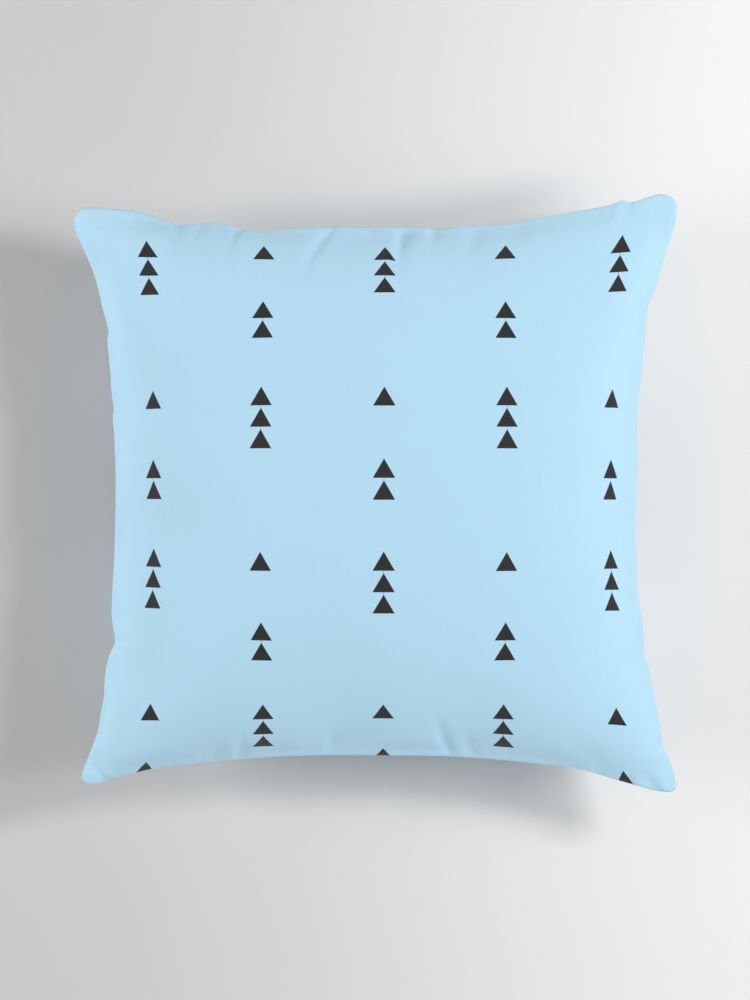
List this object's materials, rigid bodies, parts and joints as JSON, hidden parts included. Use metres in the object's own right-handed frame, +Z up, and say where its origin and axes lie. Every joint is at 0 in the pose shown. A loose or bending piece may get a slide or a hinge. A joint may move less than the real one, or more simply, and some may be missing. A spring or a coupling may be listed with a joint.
{
  "type": "throw pillow",
  "caption": "Square throw pillow with a knife-edge seam, a plump crown, drawn-in sides and soft gathers, lying on its back with its printed face up.",
  "frame": {"origin": "on the surface that the pillow lies on, under the middle of its outline", "axes": "+X to the right across the printed face, +Y up the printed face, +Z up out of the printed face"},
  "size_m": [0.4298, 0.427, 0.17],
  "materials": {
    "cover_fabric": "matte plain-woven polyester cloth, pale blue, the front printed with charcoal triangles"
  },
  "bodies": {
    "root": {"cushion": "cover_fabric"}
  },
  "joints": []
}
